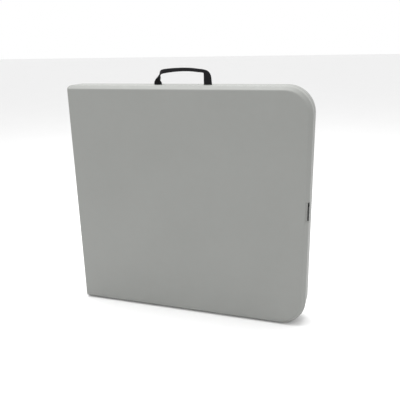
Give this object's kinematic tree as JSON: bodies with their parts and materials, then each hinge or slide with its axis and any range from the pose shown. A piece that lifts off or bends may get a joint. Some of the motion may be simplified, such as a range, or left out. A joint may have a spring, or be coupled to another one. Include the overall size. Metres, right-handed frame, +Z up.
{
  "type": "folding table",
  "caption": "Rectangular moulded-plastic table that folds in half like a suitcase, with folding telescopic leg frames inside and a webbing carry handle.",
  "frame": {"origin": "centre of the bounding box at the bottom: the folded table stands on its lower long edge on z = 0", "axes": "+Z up across the table, from the long edge it stands on to the edge with the carry handle; +X along the folded length from the fold edge to the outer end with the latch; +Y from the half with the latch and handle to the other half"},
  "size_m": [0.7716, 0.09, 0.786],
  "materials": {
    "tabletop_plastic": "fine pebbled light grey blow-moulded polyethylene",
    "webbing": "black woven nylon webbing",
    "black_plastic": "lightly textured black nylon",
    "zinc_steel": "zinc plated steel",
    "bright_steel_tube": "bright drawn steel tube",
    "grey_powder_steel": "grey powder coat, fine texture"
  },
  "bodies": {
    "front_half": {"front_top": "tabletop_plastic", "front_side_rail_lower": "grey_powder_steel", "front_side_rail_upper": "grey_powder_steel", "front_hinge_plate_lower": "zinc_steel", "front_hinge_plate_upper": "zinc_steel", "front_hinge_rivets": "zinc_steel", "front_screws": "zinc_steel", "front_cross_brace": "grey_powder_steel", "front_stay_bracket": "zinc_steel", "hinge_pins": "zinc_steel", "latch_guide_pins": "zinc_steel", "handle_tails": "webbing", "handle_clamps": "zinc_steel", "handle_screws": "zinc_steel"},
    "back_half": {"back_top": "tabletop_plastic", "back_side_rail_lower": "grey_powder_steel", "back_side_rail_upper": "grey_powder_steel", "back_hinge_plate_lower": "zinc_steel", "back_hinge_plate_upper": "zinc_steel", "back_hinge_rivets": "zinc_steel", "back_screws": "zinc_steel", "back_cross_brace": "grey_powder_steel", "back_stay_bracket": "zinc_steel", "latch_keeper_pin": "zinc_steel"},
    "front_leg_frame": {"front_leg_pivot_tube": "grey_powder_steel", "front_leg_pivot_caps": "black_plastic", "front_leg_stretcher": "grey_powder_steel", "front_leg_collars": "black_plastic", "front_outer_leg_lower": "grey_powder_steel", "front_outer_leg_upper": "grey_powder_steel", "front_stay_leg_rivet": "zinc_steel"},
    "front_stay_upper": {"front_stay_upper_link": "zinc_steel", "front_stay_joint_rivet": "zinc_steel"},
    "front_stay_lower": {"front_stay_lower_link": "zinc_steel", "front_stay_joint_washer": "zinc_steel"},
    "front_inner_leg_lower": {"front_inner_leg_lower": "bright_steel_tube", "front_foot_lower": "black_plastic"},
    "front_knob_lower": {"front_leg_knob_lower": "black_plastic"},
    "front_inner_leg_upper": {"front_inner_leg_upper": "bright_steel_tube", "front_foot_upper": "black_plastic"},
    "front_knob_upper": {"front_leg_knob_upper": "black_plastic"},
    "back_leg_frame": {"back_leg_pivot_tube": "grey_powder_steel", "back_leg_pivot_caps": "black_plastic", "back_leg_stretcher": "grey_powder_steel", "back_leg_collars": "black_plastic", "back_outer_leg_lower": "grey_powder_steel", "back_outer_leg_upper": "grey_powder_steel", "back_stay_leg_rivet": "zinc_steel"},
    "back_stay_upper": {"back_stay_upper_link": "zinc_steel", "back_stay_joint_rivet": "zinc_steel"},
    "back_stay_lower": {"back_stay_lower_link": "zinc_steel", "back_stay_joint_washer": "zinc_steel"},
    "back_inner_leg_lower": {"back_inner_leg_lower": "bright_steel_tube", "back_foot_lower": "black_plastic"},
    "back_knob_lower": {"back_leg_knob_lower": "black_plastic"},
    "back_inner_leg_upper": {"back_inner_leg_upper": "bright_steel_tube", "back_foot_upper": "black_plastic"},
    "back_knob_upper": {"back_leg_knob_upper": "black_plastic"},
    "latch": {"latch_slide": "black_plastic"},
    "handle": {"handle_strap": "webbing"}
  },
  "joints": [
    {"name": "fold", "type": "hinge", "parent": "front_half", "child": "back_half", "pos_m": [-0.3768, 0, 0], "axis": [0, 0, 1], "range_deg": [0, 180]},
    {"name": "front_legs", "type": "hinge", "parent": "front_half", "child": "front_leg_frame", "pos_m": [0.3418, -0.017, 0], "axis": [0, 0, -1], "range_deg": [0, 90]},
    {"name": "front_stay_upper", "type": "hinge", "parent": "front_half", "child": "front_stay_upper", "pos_m": [0.0818, -0.017, 0], "axis": [0, 0, 1], "range_deg": [0, 50.91]},
    {"name": "front_stay_lower", "type": "hinge", "parent": "front_leg_frame", "child": "front_stay_lower", "pos_m": [0.0218, -0.017, 0], "axis": [0, 0, -1], "range_deg": [0, 39.09]},
    {"name": "front_height_lower", "type": "slide", "parent": "front_leg_frame", "child": "front_inner_leg_lower", "axis": [-1, 0, 0], "range_m": [0, 0.292]},
    {"name": "front_knob_turn_lower", "type": "hinge", "parent": "front_leg_frame", "child": "front_knob_lower", "pos_m": [-0.0337, -0.017, 0.118], "axis": [0, 0, -1], "range_deg": [0, 180]},
    {"name": "front_height_upper", "type": "slide", "parent": "front_leg_frame", "child": "front_inner_leg_upper", "axis": [-1, 0, 0], "range_m": [0, 0.292]},
    {"name": "front_knob_turn_upper", "type": "hinge", "parent": "front_leg_frame", "child": "front_knob_upper", "pos_m": [-0.0337, -0.017, 0.618], "axis": [0, 0, 1], "range_deg": [0, 180]},
    {"name": "back_legs", "type": "hinge", "parent": "back_half", "child": "back_leg_frame", "pos_m": [0.3418, 0.017, 0], "axis": [0, 0, 1], "range_deg": [0, 90]},
    {"name": "back_stay_upper", "type": "hinge", "parent": "back_half", "child": "back_stay_upper", "pos_m": [0.0818, 0.017, 0], "axis": [0, 0, -1], "range_deg": [0, 50.91]},
    {"name": "back_stay_lower", "type": "hinge", "parent": "back_leg_frame", "child": "back_stay_lower", "pos_m": [0.0218, 0.017, 0], "axis": [0, 0, 1], "range_deg": [0, 39.09]},
    {"name": "back_height_lower", "type": "slide", "parent": "back_leg_frame", "child": "back_inner_leg_lower", "axis": [-1, 0, 0], "range_m": [0, 0.292]},
    {"name": "back_knob_turn_lower", "type": "hinge", "parent": "back_leg_frame", "child": "back_knob_lower", "pos_m": [-0.0337, 0.017, 0.148], "axis": [0, 0, -1], "range_deg": [0, 180]},
    {"name": "back_height_upper", "type": "slide", "parent": "back_leg_frame", "child": "back_inner_leg_upper", "axis": [-1, 0, 0], "range_m": [0, 0.292]},
    {"name": "back_knob_turn_upper", "type": "hinge", "parent": "back_leg_frame", "child": "back_knob_upper", "pos_m": [-0.0337, 0.017, 0.588], "axis": [0, 0, 1], "range_deg": [0, 180]},
    {"name": "latch_slide", "type": "slide", "parent": "front_half", "child": "latch", "axis": [0, 0, 1], "range_m": [0, 0.012]},
    {"name": "handle_flop", "type": "hinge", "parent": "front_half", "child": "handle", "pos_m": [-0.0032, -0.0061, 0.7375], "axis": [1, 0, 0], "range_deg": [-50, 75]}
  ],
  "couplings": [
    {"joint": "front_legs", "follows": "fold", "ratio": 0.5},
    {"joint": "front_stay_upper", "follows": "fold", "ratio": 0.28281},
    {"joint": "front_stay_lower", "follows": "fold", "ratio": 0.21719},
    {"joint": "back_legs", "follows": "fold", "ratio": 0.5},
    {"joint": "back_stay_upper", "follows": "fold", "ratio": 0.28281},
    {"joint": "back_stay_lower", "follows": "fold", "ratio": 0.21719}
  ]
}
